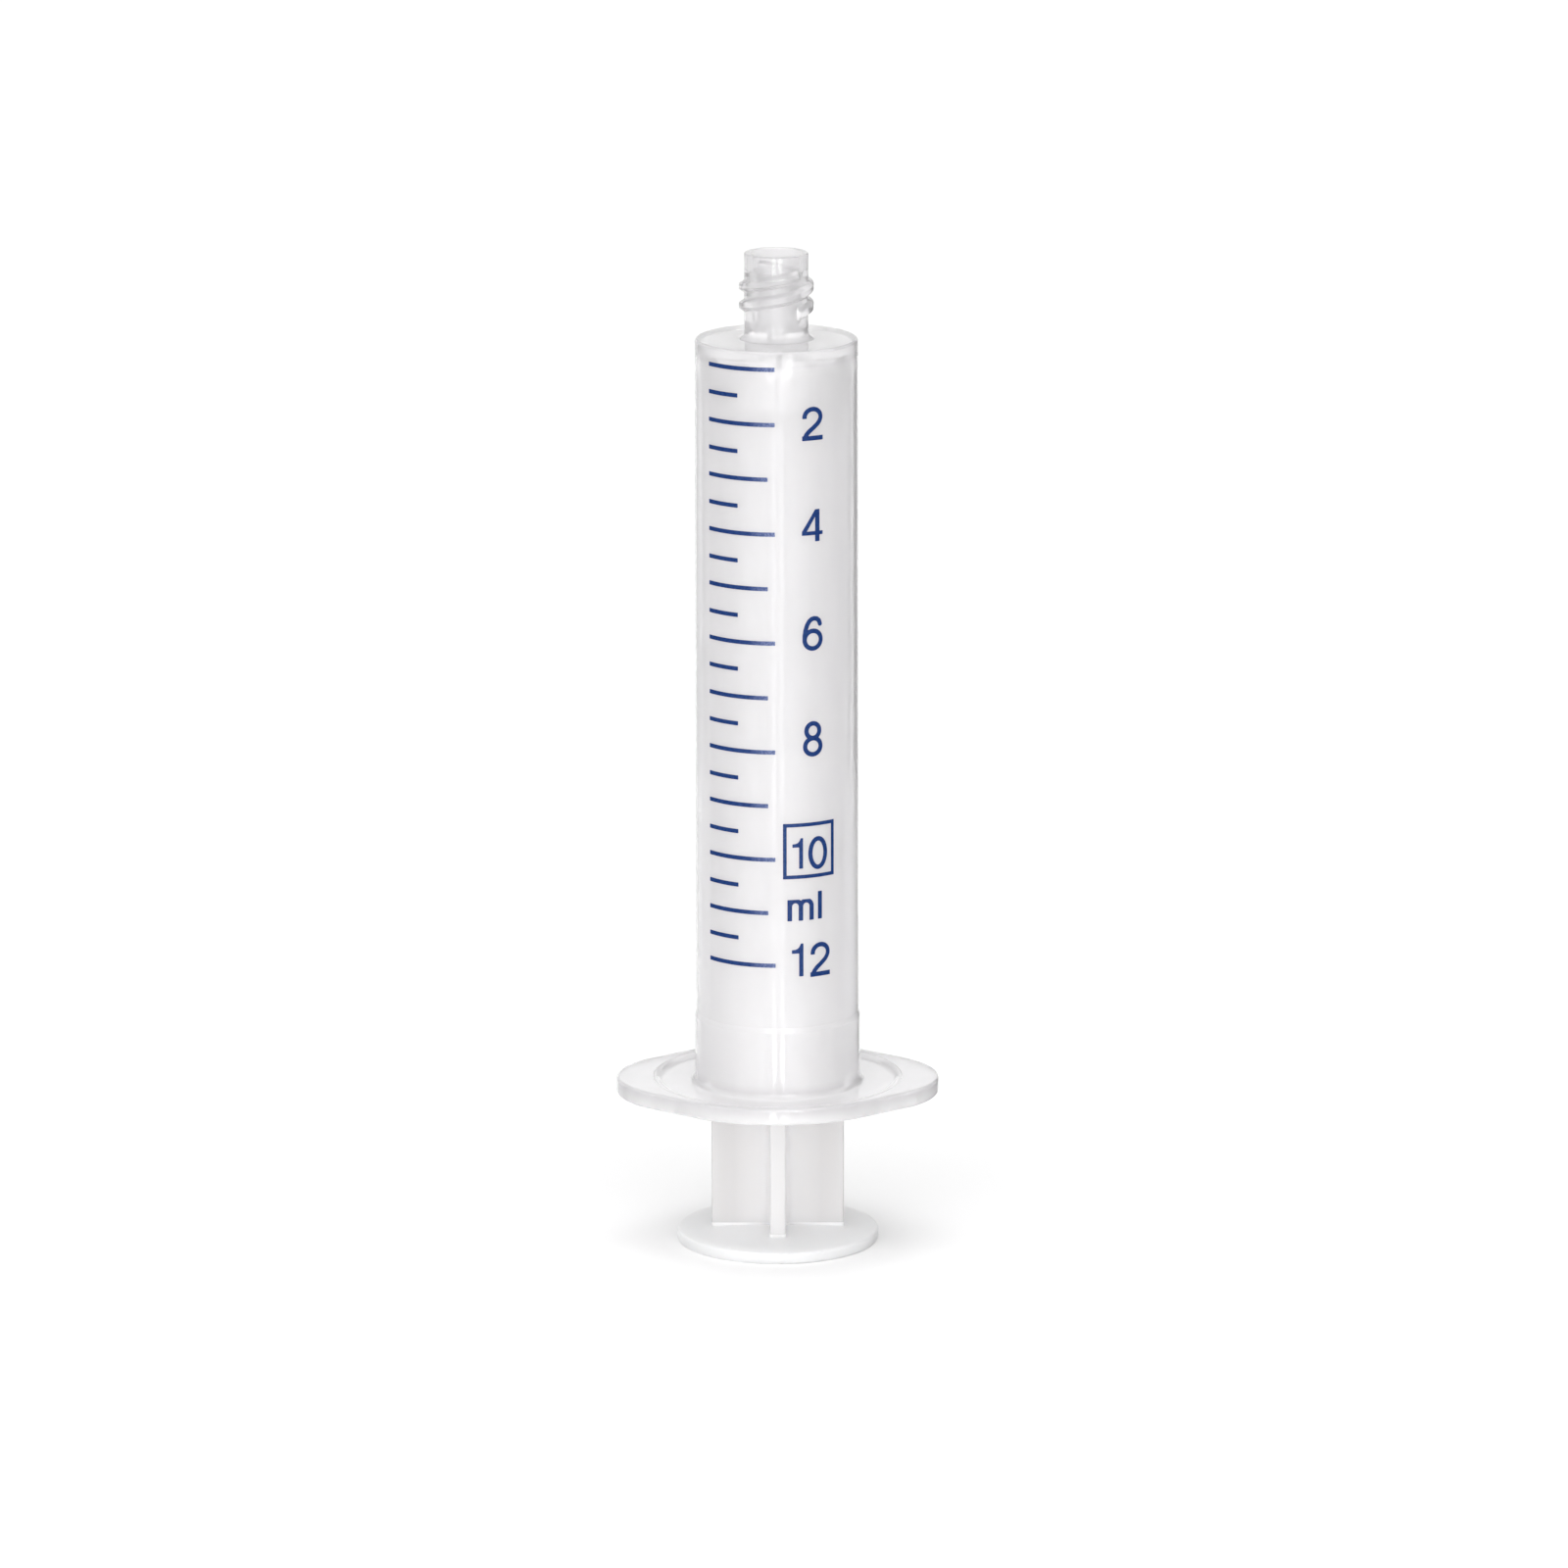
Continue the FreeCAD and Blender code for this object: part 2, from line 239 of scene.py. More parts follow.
# rings that fall on the same place as the one before are dropped
keep = [0]
for i in range(1, len(Z)):
    if np.max(np.hypot(R[i] - R[keep[-1]], Z[i] - Z[keep[-1]])) > 0.004:
        keep.append(i)
R, Z = R[keep], Z[keep]
S = len(Z)
verts = np.stack([R * np.cos(ang)[None, :], R * np.sin(ang)[None, :], np.repeat(Z[:, None], N_ANG, 1)], 2).reshape(-1, 3)
i0 = np.arange(S)[:, None] * N_ANG
i1 = ((np.arange(S) + 1) % S)[:, None] * N_ANG
j0 = np.arange(N_ANG)[None, :]
j1 = (np.arange(N_ANG)[None, :] + 1) % N_ANG
quads = np.stack([i0 + j0, i0 + j1, i1 + j1, i1 + j0], 2).reshape(-1, 4)
barrel = mesh_object("barrel_moulding", verts, quads.tolist())
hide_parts("barrel")
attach(barrel, "barrel_body")

# --------------------------------------------------------------------------
# printed scale: thin ink film that follows the tube
# --------------------------------------------------------------------------
INK_GAP, INK_T = 0.004, 0.012


def on_tube(phi, z, off):
    """Point of the tube's outside: phi (rad) is counted from the front (-Y), positive to +X."""
    r = out_r(z) + off
    return np.stack([r * np.sin(phi), -r * np.cos(phi), z], -1)


ink_v, ink_f = [], []


def add_film(points2d, faces, boundary):
    """A closed film from a flat mesh in (phi, z): outer face, inner face and the edge between them."""
    p = np.asarray(points2d, float)
    base = len(ink_v)
    n = len(p)
    top = on_tube(p[:, 0], p[:, 1], INK_GAP + INK_T)
    low = on_tube(p[:, 0], p[:, 1], INK_GAP)
    ink_v.extend(top.tolist())
    ink_v.extend(low.tolist())
    for f in faces:
        ink_f.append([base + k for k in f])
        ink_f.append([base + n + k for k in reversed(f)])
    for a, b in boundary:
        ink_f.append([base + b, base + a, base + n + a, base + n + b])


def film_from_field(field, x0, z0, step):
    """Marching squares: the region where the field is negative becomes a mesh.
    x is arc length from the front at the tube's radius, in millimetres."""
    nx, nz = field.shape
    verts2, index = [], {}

    def vert(key, x, z):
        if key not in index:
            index[key] = len(verts2)
            verts2.append((x, z))
        return index[key]

    faces, edges = [], {}
    for i in range(nx - 1):
        for j in range(nz - 1):
            c = [(i, j), (i + 1, j), (i + 1, j + 1), (i, j + 1)]
            v = [field[a, b] for a, b in c]
            if min(v) >= 0:
                continue
            poly = []
            for k in range(4):
                a, b = c[k], c[(k + 1) % 4]
                va, vb = v[k], v[(k + 1) % 4]
                if va < 0:
                    poly.append(vert(("v",) + a, x0 + a[0] * step, z0 + a[1] * step))
                if (va < 0) != (vb < 0):
                    t = va / (va - vb)
                    t = min(max(t, 0.04), 0.96)
                    # the same crossing from both cells
                    key = ("e",) + tuple(sorted((a, b)))
                    xa, za = x0 + a[0] * step, z0 + a[1] * step
                    xb, zb = x0 + b[0] * step, z0 + b[1] * step
                    poly.append(vert(key, xa + (xb - xa) * t, za + (zb - za) * t))
            if len(poly) >= 3:
                faces.append(poly)
                for k in range(len(poly)):
                    e = (poly[k], poly[(k + 1) % len(poly)])
                    if (e[1], e[0]) in edges:
                        del edges[(e[1], e[0])]
                    else:
                        edges[e] = 1
    return verts2, faces, list(edges)


def seg_dist(X, Y, a, b):
    ax, ay = a
    dx, dy = b[0] - ax, b[1] - ay
    L2 = dx * dx + dy * dy
    t = np.clip(((X - ax) * dx + (Y - ay) * dy) / max(L2, 1e-12), 0, 1)
    return np.hypot(X - ax - t * dx, Y - ay - t * dy)


def arc_pts(cx, cy, rx, ry, a0, a1, n=28):
    return [(cx + rx * math.cos(math.radians(a0 + (a1 - a0) * k / n)),
             cy + ry * math.sin(math.radians(a0 + (a1 - a0) * k / n))) for k in range(n + 1)]


# glyph centre lines in a box 1 high, drawn for this scale
def glyph(ch):
    """Returns (width, list of strokes, list of half-plane cuts)."""
    if ch == "0":
        return 0.60, [arc_pts(0.30, 0.5, 0.245, 0.445, 0, 360, 48)], []
    if ch == "1":
        return 0.36, [], [("p", [(0.225, 0.0), (0.36, 0.0), (0.36, 1.0), (0.280, 1.0), (0.257, 0.946), (0.229, 0.892), (0.182, 0.847),
                                 (0.116, 0.82), (0.0, 0.808), (0.0, 0.70), (0.225, 0.70)])]
    if ch == "2":
        return 0.60, [arc_pts(0.30, 0.69, 0.232, 0.238, 205, 0, 30) + [(0.527, 0.64), (0.497, 0.565), (0.44, 0.485), (0.33, 0.385),
                      (0.20, 0.275), (0.125, 0.185), (0.09, 0.11), (0.075, 0.03)], [(-0.2, 0.070), (0.80, 0.070)]], \
            [("x", 0.60), ("X", 0.0), ("y", 0.0), ("r", (-0.5, 0.40, 0.27, 0.652))]
    if ch == "4":
        return 0.62, [], [("p", [(0.385, 0.0), (0.52, 0.0), (0.52, 1.0), (0.385, 1.0)]), ("p", [(0.0, 0.205), (0.62, 0.205), (0.62, 0.325), (0.0, 0.325)]),
                          ("p", [(0.0, 0.205), (0.0, 0.325), (0.385, 1.0), (0.50, 1.0), (0.385, 0.775), (0.142, 0.325), (0.09, 0.205)])]
    if ch == "6":
        return 0.60, [arc_pts(0.305, 0.315, 0.235, 0.262, 0, 360, 44),
                      [(0.070, 0.32), (0.072, 0.45), (0.095, 0.61), (0.14, 0.76), (0.20, 0.87), (0.27, 0.93), (0.34, 0.945),
                       (0.42, 0.93), (0.485, 0.87), (0.515, 0.77)]], []
    if ch == "8":
        return 0.60, [arc_pts(0.30, 0.735, 0.195, 0.210, 0, 360, 40), arc_pts(0.30, 0.285, 0.235, 0.232, 0, 360, 44)], []
    if ch == "m":
        return 0.86, [[(0.055, -0.2), (0.055, 0.76)],
                      [(0.055, 0.42)] + arc_pts(0.235, 0.475, 0.18, 0.195, 180, 0, 20) + [(0.415, -0.2)],
                      [(0.415, 0.42)] + arc_pts(0.595, 0.475, 0.18, 0.195, 180, 0, 20) + [(0.775, -0.2)]], [("y", 0.0), ("Y", 0.71)]
    if ch == "l":
        return 0.11, [[(0.055, -0.2), (0.055, 1.2)]], [("y", 0.0), ("Y", 1.0)]
    raise ValueError(ch)


def glyph_field(ch, height, width, stroke, X, Zf):
    """Signed distance (mm) of a glyph whose box has its lower left corner at 0, 0."""
    w, strokes, cuts = glyph(ch)
    sx, sz = width / w, height
    d = np.full(X.shape, 9.0)
    # the stroke's centre lines are drawn so that the outer edge meets the box
    for st in strokes:
        pts = [(x * sx, y * sz) for x, y in st]
        for a, b in zip(pts[:-1], pts[1:]):
            d = np.minimum(d, seg_dist(X, Zf, a, b))
    d = d - stroke / 2.0
    for kind, v in cuts:
        if kind == "p":
            # filled outline
            pts = [(x * sx, y * sz) for x, y in v]
            edge = np.full(X.shape, 9.0)
            inside = np.zeros(X.shape, bool)
            for (xa, ya), (xb, yb) in zip(pts, pts[1:] + pts[:1]):
                edge = np.minimum(edge, seg_dist(X, Zf, (xa, ya), (xb, yb)))
                if ya != yb:
                    inside ^= ((ya > Zf) != (yb > Zf)) & (X < xa + (Zf - ya) * (xb - xa) / (yb - ya))
            d = np.minimum(d, np.where(inside, -edge, edge))
        elif kind == "X":
            d = np.maximum(d, v * sx - X)
        elif kind == "r":
            # rectangle taken away, for a flat end of a stroke
            xa, ya, xb, yb = v[0] * sx, v[1] * sz, v[2] * sx, v[3] * sz
            d = np.maximum(d, -np.maximum(np.maximum(xa - X, X - xb), np.maximum(ya - Zf, Zf - yb)))
        elif kind == "y":
            d = np.maximum(d, v * sz - Zf)
        elif kind == "Y":
            d = np.maximum(d, Zf - v * sz)
        elif kind == "x":
            d = np.maximum(d, X - v * sx)
    return d


def add_glyph(ch, x_left, x_right, z_low, z_high, stroke=0.49, step=0.055):
    """One character; x is arc length from the front at the print's own radius."""
    pad = 0.25
    xs = np.arange(x_left - pad, x_right + pad + step, step)
    zs = np.arange(z_low - pad, z_high + pad + step, step)
    X, Zf = np.meshgrid(xs, zs, indexing="ij")
    f = glyph_field(ch, z_high - z_low, x_right - x_left, stroke, X - x_left, Zf - z_low)
    f = np.where(np.abs(f) < 1e-5, 1e-5, f)
    v2, faces, edges = film_from_field(f, xs[0], zs[0], step)
    v2 = [(x / out_r(z), z) for x, z in v2]
    add_film(v2, faces, edges)


def add_bar(phi0, phi1, z0, z1, round_r=0.06):
    """A printed line: constant height, between two angles (degrees), with slightly rounded ends."""
    r = out_r(0.5 * (z0 + z1))
    a0, a1 = math.radians(phi0), math.radians(phi1)
    n = max(2, int(abs(phi1 - phi0) / 1.6))
    e = round_r / r
    cols = [a0 + e * (1 - math.cos(q)) for q in np.linspace(0, math.pi / 2, 4)]
    ins = [round_r * (1 - math.sin(q)) for q in np.linspace(0, math.pi / 2, 4)]
    mids = list(np.linspace(a0 + e, a1 - e, n + 1))[1:-1]
    allc = [(c, i) for c, i in zip(cols, ins)] + [(m, 0.0) for m in mids] + [(a0 + a1 - c, i) for c, i in reversed(list(zip(cols, ins)))]
    pts, faces = [], []
    for c, i in allc:
        pts.append((c, z0 + i))
        pts.append((c, z1 - i))
    for k in range(len(allc) - 1):
        faces.append([2 * k, 2 * k + 2, 2 * k + 3, 2 * k + 1])
    edges = [(2 * k, 2 * k + 2) for k in range(len(allc) - 1)] + [(2 * k + 3, 2 * k + 1) for k in range(len(allc) - 1)]
    edges += [(1, 0), (2 * len(allc) - 2, 2 * len(allc) - 1)]
    add_film(pts, faces, edges)


LINE_Z = [95.15, 92.28, 89.36, 86.44, 83.61, 80.69, 77.83, 74.92, 72.07, 69.14, 66.31, 63.43,
          60.50, 57.61, 54.73, 51.83, 49.00, 46.09, 43.26, 40.36, 37.53, 34.68, 31.88]
for i, z in enumerate(LINE_Z):
    if i % 2:
        right = -28.2
    elif i % 4 == 0 and i > 0:
        right = -6.2
    else:
        right = -1.2
    add_bar(-55.0, right, z - 0.225, z + 0.225)


def px_to_x(px, z, depth=None):
    """Arc length on the tube for an image column at height z (the photograph's frame, 1600 wide)."""
    r = out_r(z)
    phi = 0.0
    for _ in range(6):
        y = -r * math.cos(phi)
        dist = (y + 975.9) * math.cos(math.radians(13.23)) + (278.8 - z) * math.sin(math.radians(13.23))
        x = (px - 800.0) / 9752.0 * dist + 0.72
        phi = math.asin(max(-0.999, min(0.999, x / r)))
    return phi * r


def px_to_z(px, py):
    """Height on the tube of an image point."""
    z = 60.0
    th = math.radians(13.23)
    for _ in range(12):
        r = out_r(z)
        phi = px_to_x(px, z) / r
        y = -r * math.cos(phi)
        dz = (y + 975.9) * math.cos(th) + (278.8 - z) * math.sin(th)
        up = -(py - 800.0) / 9752.0 * dz
        # up = (y + D) sin + (z - H) cos
        z = 278.8 + (up - (y + 975.9) * math.sin(th)) / math.cos(th)
    return z


def glyph_at(ch, x0, x1, y0, y1, **kw):
    xm = 0.5 * (x0 + x1)
    zl, zh = px_to_z(xm, y1), px_to_z(xm, y0)
    add_glyph(ch, px_to_x(x0, zl), px_to_x(x1, zl), zl, zh, **kw)


glyph_at("2", 819.0, 840.0, 415.0, 449.5)
glyph_at("4", 818.6, 839.8, 520.0, 552.8)
glyph_at("6", 818.7, 839.6, 629.3, 663.6)
glyph_at("8", 819.3, 839.3, 736.3, 771.6)
glyph_at("1", 808.4, 819.3, 855.5, 886.7)
glyph_at("0", 825.0, 843.5, 853.7, 886.3)
glyph_at("m", 803.9, 830.4, 909.0, 939.5)
glyph_at("l", 834.2, 838.6, 909.0, 937.3)
glyph_at("1", 807.7, 819.5, 963.0, 996.5)
glyph_at("2", 826.6, 846.4, 961.0, 995.8)

# frame round the "10"
bz_top, bz_low = px_to_z(824.6, 839.5), px_to_z(824.6, 896.0)
bx_l, bx_r = px_to_x(798.8, 45.0), px_to_x(850.5, 45.0)
bw = 0.39
r_box = out_r(0.5 * (bz_top + bz_low))
xs = np.arange(bx_l - 0.2, bx_r + 0.26, 0.06)
zs = np.arange(bz_low - 0.2, bz_top + 0.26, 0.06)
X, Zf = np.meshgrid(xs, zs, indexing="ij")
outer = np.maximum(np.abs(X - 0.5 * (bx_l + bx_r)) - 0.5 * (bx_r - bx_l), np.abs(Zf - 0.5 * (bz_low + bz_top)) - 0.5 * (bz_top - bz_low))
field = np.maximum(outer, -(outer + bw))
field = np.where(np.abs(field) < 1e-5, 1e-5, field)
v2, faces2, edges2 = film_from_field(field, xs[0], zs[0], 0.06)
add_film([(x / out_r(z), z) for x, z in v2], faces2, edges2)

ink = mesh_object("printed_scale", ink_v, ink_f, smooth=False)
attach(ink, "barrel_body")


# --------------------------------------------------------------------------
# materials
# --------------------------------------------------------------------------
def new_material(name):
    m = bpy.data.materials.new(name)
    m.use_nodes = True
    nt = m.node_tree
    nt.nodes.clear()
    out = nt.nodes.new("ShaderNodeOutputMaterial")
    bsdf = nt.nodes.new("ShaderNodeBsdfPrincipled")
    nt.links.new(bsdf.outputs[0], out.inputs[0])
    return m, nt, bsdf


def node(nt, kind, **kw):
    n = nt.nodes.new(kind)
    for k, v in kw.items():
        if k in n.inputs:
            n.inputs[k].default_value = v
        else:
            setattr(n, k, v)
    return n


def mapped(nt, scale=(1, 1, 1)):
    tc = nt.nodes.new("ShaderNodeTexCoord")
    mp = nt.nodes.new("ShaderNodeMapping")
    mp.inputs["Scale"].default_value = scale
    nt.links.new(tc.outputs["Object"], mp.inputs["Vector"])
    return mp.outputs["Vector"]


# clear, slightly milky polypropylene; haze and painted shade are laid out by height in the
# moulding's own frame, and the neck's cone is matt (distance from the axis)
HAZE = [(0.0, 0.42), (16.3, 0.42), (17.75, 0.34), (18.3, 0.33), (18.8, 0.35), (24.3, 0.37), (25.2, 0.38), (94.8, 0.37), (95.4, 0.31), (96.9, 0.31), (97.2, 0.36), (98.0, 0.34), (99.4, 0.30), (103.0, 0.29), (105.5, 0.21), (110.0, 0.21)]
# painted shade by height: the base colour is darkened in the dish at the tube's foot and over the threaded neck
PAINTED_SHADE_BY_HEIGHT = [(0.0, 0.99), (16.3, 0.99), (17.75, 0.90), (18.1, 0.90), (18.6, 0.985), (24.5, 0.99), (45.0, 0.985), (65.0, 0.972), (95.0, 0.975), (98.5, 0.975), (100.2, 0.95), (101.6, 0.88), (110.0, 0.865)]
pp, nt, b = new_material("clear_polypropylene")
tc = nt.nodes.new("ShaderNodeTexCoord")
sep = nt.nodes.new("ShaderNodeSeparateXYZ")
nt.links.new(tc.outputs["Object"], sep.inputs[0])
flow = node(nt, "ShaderNodeTexNoise", Scale=150.0, Detail=3.0, Roughness=0.5)
nt.links.new(mapped(nt, (1, 1, 0.18)), flow.inputs["Vector"])
hz = node(nt, "ShaderNodeMapRange")
hz.inputs["From Min"].default_value = 0.0
hz.inputs["From Max"].default_value = 0.110
nt.links.new(sep.outputs["Z"], hz.inputs["Value"])


def height_ramp(table, colour):
    """Colour ramp over the height, from a table of (millimetres, level)."""
    ramp = nt.nodes.new("ShaderNodeValToRGB")
    el = ramp.color_ramp.elements
    el[0].position, el[0].color = table[0][0] / 110.0, colour(table[0][1])
    el[1].position, el[1].color = table[-1][0] / 110.0, colour(table[-1][1])
    for z, h in table[1:-1]:
        el.new(z / 110.0).color = colour(h)
    nt.links.new(hz.outputs["Result"], ramp.inputs["Fac"])
    return ramp


haze = height_ramp(HAZE, lambda h: (h, h, h, 1))
# ramp of the painted shade by height
shade = height_ramp(PAINTED_SHADE_BY_HEIGHT, lambda h: (h, h - 0.006, h + 0.002, 1))
# the cone: inside 2.35 mm of the axis, below the ledge
rr = node(nt, "ShaderNodeVectorMath", operation="LENGTH")
cxy = nt.nodes.new("ShaderNodeCombineXYZ")
nt.links.new(sep.outputs["X"], cxy.inputs["X"])
nt.links.new(sep.outputs["Y"], cxy.inputs["Y"])
nt.links.new(cxy.outputs[0], rr.inputs[0])
in_r = node(nt, "ShaderNodeMath", operation="LESS_THAN")
nt.links.new(rr.outputs["Value"], in_r.inputs[0])
in_r.inputs[1].default_value = 0.00235
in_z = node(nt, "ShaderNodeMath", operation="LESS_THAN")
nt.links.new(sep.outputs["Z"], in_z.inputs[0])
in_z.inputs[1].default_value = 0.10404
cone_mask = node(nt, "ShaderNodeMath", operation="MULTIPLY")
nt.links.new(in_r.outputs[0], cone_mask.inputs[0])
nt.links.new(in_z.outputs[0], cone_mask.inputs[1])
# transmission = 1 - haze - flow marks - cone
fl1 = node(nt, "ShaderNodeMapRange")
fl1.inputs["To Min"].default_value = 1.03
fl1.inputs["To Max"].default_value = 0.97
nt.links.new(flow.outputs["Fac"], fl1.inputs["Value"])
t1 = node(nt, "ShaderNodeMath", operation="SUBTRACT")
nt.links.new(fl1.outputs["Result"], t1.inputs[0])
nt.links.new(haze.outputs["Color"], t1.inputs[1])
t2 = node(nt, "ShaderNodeMath", operation="MULTIPLY_ADD")
nt.links.new(cone_mask.outputs[0], t2.inputs[0])
t2.inputs[1].default_value = -0.05
nt.links.new(t1.outputs[0], t2.inputs[2])
t2.use_clamp = True
nt.links.new(t2.outputs[0], b.inputs["Transmission Weight"])
# painted shade: the cone inside the neck gets a base colour a fifth darker than the wall around it
# painted shade: 1 - 0.2 on the cone mask scales the base colour
cone_painted_shade = node(nt, "ShaderNodeMath", operation="MULTIPLY_ADD")
nt.links.new(cone_mask.outputs[0], cone_painted_shade.inputs[0])
cone_painted_shade.inputs[1].default_value = -0.20
cone_painted_shade.inputs[2].default_value = 1.0
shaded_base_colour = node(nt, "ShaderNodeVectorMath", operation="SCALE")
nt.links.new(shade.outputs["Color"], shaded_base_colour.inputs[0])
nt.links.new(cone_painted_shade.outputs[0], shaded_base_colour.inputs["Scale"])
nt.links.new(shaded_base_colour.outputs[0], b.inputs["Base Color"])
b.inputs["IOR"].default_value = 1.30
r1 = node(nt, "ShaderNodeMapRange")
r1.inputs["To Min"].default_value = 0.015
r1.inputs["To Max"].default_value = 0.045
nt.links.new(flow.outputs["Fac"], r1.inputs["Value"])
r2 = node(nt, "ShaderNodeMath", operation="MULTIPLY_ADD")
nt.links.new(cone_mask.outputs[0], r2.inputs[0])
r2.inputs[1].default_value = 0.12
nt.links.new(r1.outputs["Result"], r2.inputs[2])
nt.links.new(r2.outputs[0], b.inputs["Roughness"])
bump = node(nt, "ShaderNodeBump", Strength=0.12, Distance=0.00003)
n2 = node(nt, "ShaderNodeTexNoise", Scale=420.0, Detail=2.0)
nt.links.new(mapped(nt, (1, 1, 0.15)), n2.inputs["Vector"])
nt.links.new(n2.outputs["Fac"], bump.inputs["Height"])
nt.links.new(bump.outputs["Normal"], b.inputs["Normal"])
vol = node(nt, "ShaderNodeVolumeAbsorption", Density=3.0)
vol.inputs["Color"].default_value = (0.05, 0.0, 0.02, 1)
nt.links.new(vol.outputs[0], next(n for n in nt.nodes if n.type == "OUTPUT_MATERIAL").inputs["Volume"])
barrel.data.materials.append(pp)

# natural polyethylene
pe, nt, b = new_material("plunger_polyethylene")
n1 = node(nt, "ShaderNodeTexNoise", Scale=120.0, Detail=3.0)
nt.links.new(mapped(nt, (1, 1, 0.4)), n1.inputs["Vector"])
cr = nt.nodes.new("ShaderNodeValToRGB")
cr.color_ramp.elements[0].position = 0.3
cr.color_ramp.elements[0].color = (0.955, 0.945, 0.95, 1)
cr.color_ramp.elements[1].position = 0.7
cr.color_ramp.elements[1].color = (1.0, 0.99, 0.995, 1)
nt.links.new(n1.outputs["Fac"], cr.inputs["Fac"])
# painted light and shade: the base colour is lighter near the axis where the ribs meet, darker towards the blades'
# outer edges and on the ribs away from the blades' mid-plane
tc = nt.nodes.new("ShaderNodeTexCoord")
sep = nt.nodes.new("ShaderNodeSeparateXYZ")
nt.links.new(tc.outputs["Object"], sep.inputs[0])
ax = node(nt, "ShaderNodeMath", operation="ABSOLUTE")
nt.links.new(sep.outputs["X"], ax.inputs[0])
reach = node(nt, "ShaderNodeMapRange")
reach.inputs["From Min"].default_value = 0.0
reach.inputs["From Max"].default_value = 0.008
nt.links.new(ax.outputs[0], reach.inputs["Value"])
# painted light and shade by distance from the axis: lighter near it, darker towards the blades' outer edges
root = nt.nodes.new("ShaderNodeValToRGB")
el = root.color_ramp.elements
PAINTED_LIGHT_BY_AXIS_DIST = [(0.0, 0.87), (1.0, 0.86), (2.6, 0.73), (4.6, 0.62), (6.6, 0.60), (7.2, 0.54), (8.0, 0.54)]
el[0].position, el[0].color = 0.0, (PAINTED_LIGHT_BY_AXIS_DIST[0][1],) * 3 + (1,)
el[1].position, el[1].color = 1.0, (PAINTED_LIGHT_BY_AXIS_DIST[-1][1],) * 3 + (1,)
for d, h in PAINTED_LIGHT_BY_AXIS_DIST[1:-1]:
    el.new(d / 8.0).color = (h, h, h, 1)
nt.links.new(reach.outputs["Result"], root.inputs["Fac"])
ay = node(nt, "ShaderNodeMath", operation="ABSOLUTE")
nt.links.new(sep.outputs["Y"], ay.inputs[0])
# painted shade: everything more than 0.9 mm off the blades' mid-plane is darkened to 0.8
rib_painted_shade = node(nt, "ShaderNodeMapRange")
rib_painted_shade.inputs["From Min"].default_value = 0.0009
rib_painted_shade.inputs["From Max"].default_value = 0.0020
rib_painted_shade.inputs["To Min"].default_value = 1.0
rib_painted_shade.inputs["To Max"].default_value = 0.80
nt.links.new(ay.outputs[0], rib_painted_shade.inputs["Value"])
painted_glow = node(nt, "ShaderNodeMath", operation="MULTIPLY")
nt.links.new(root.outputs["Color"], painted_glow.inputs[0])
nt.links.new(rib_painted_shade.outputs["Result"], painted_glow.inputs[1])
# painted light: the thumb rest below 1.8 mm is lifted to a level of 0.96
thumb_rest_painted_light = node(nt, "ShaderNodeMapRange")
thumb_rest_painted_light.inputs["From Min"].default_value = 0.001802
thumb_rest_painted_light.inputs["From Max"].default_value = 0.001900
thumb_rest_painted_light.inputs["To Min"].default_value = 0.96
thumb_rest_painted_light.inputs["To Max"].default_value = 0.0
nt.links.new(sep.outputs["Z"], thumb_rest_painted_light.inputs["Value"])
# painted light: the brighter of the two levels is kept
painted_light_level = node(nt, "ShaderNodeMath", operation="MAXIMUM")
nt.links.new(painted_glow.outputs[0], painted_light_level.inputs[0])
nt.links.new(thumb_rest_painted_light.outputs["Result"], painted_light_level.inputs[1])
painted_light_colour = node(nt, "ShaderNodeVectorMath", operation="SCALE")
nt.links.new(cr.outputs["Color"], painted_light_colour.inputs[0])
nt.links.new(painted_light_level.outputs[0], painted_light_colour.inputs["Scale"])
nt.links.new(painted_light_colour.outputs[0], b.inputs["Base Color"])
b.inputs["Roughness"].default_value = 0.32
b.inputs["IOR"].default_value = 1.52
b.inputs["Subsurface Weight"].default_value = 1.0
b.inputs["Subsurface Radius"].default_value = (1.0, 0.96, 0.93)
b.inputs["Subsurface Scale"].default_value = 0.004
bump = node(nt, "ShaderNodeBump", Strength=0.2, Distance=0.00003)
n2 = node(nt, "ShaderNodeTexNoise", Scale=900.0, Detail=3.0)
nt.links.new(mapped(nt), n2.inputs["Vector"])
nt.links.new(n2.outputs["Fac"], bump.inputs["Height"])
nt.links.new(bump.outputs["Normal"], b.inputs["Normal"])
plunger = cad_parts["plunger"]
plunger.data.materials.clear()
plunger.data.materials.append(pe)

# ink
im, nt, b = new_material("scale_ink")
n1 = node(nt, "ShaderNodeTexNoise", Scale=3500.0, Detail=2.0)
nt.links.new(mapped(nt), n1.inputs["Vector"])
cr = nt.nodes.new("ShaderNodeValToRGB")
cr.color_ramp.elements[0].position = 0.35
cr.color_ramp.elements[0].color = (0.010, 0.031, 0.132, 1)
cr.color_ramp.elements[1].position = 0.75
cr.color_ramp.elements[1].color = (0.018, 0.046, 0.172, 1)
nt.links.new(n1.outputs["Fac"], cr.inputs["Fac"])
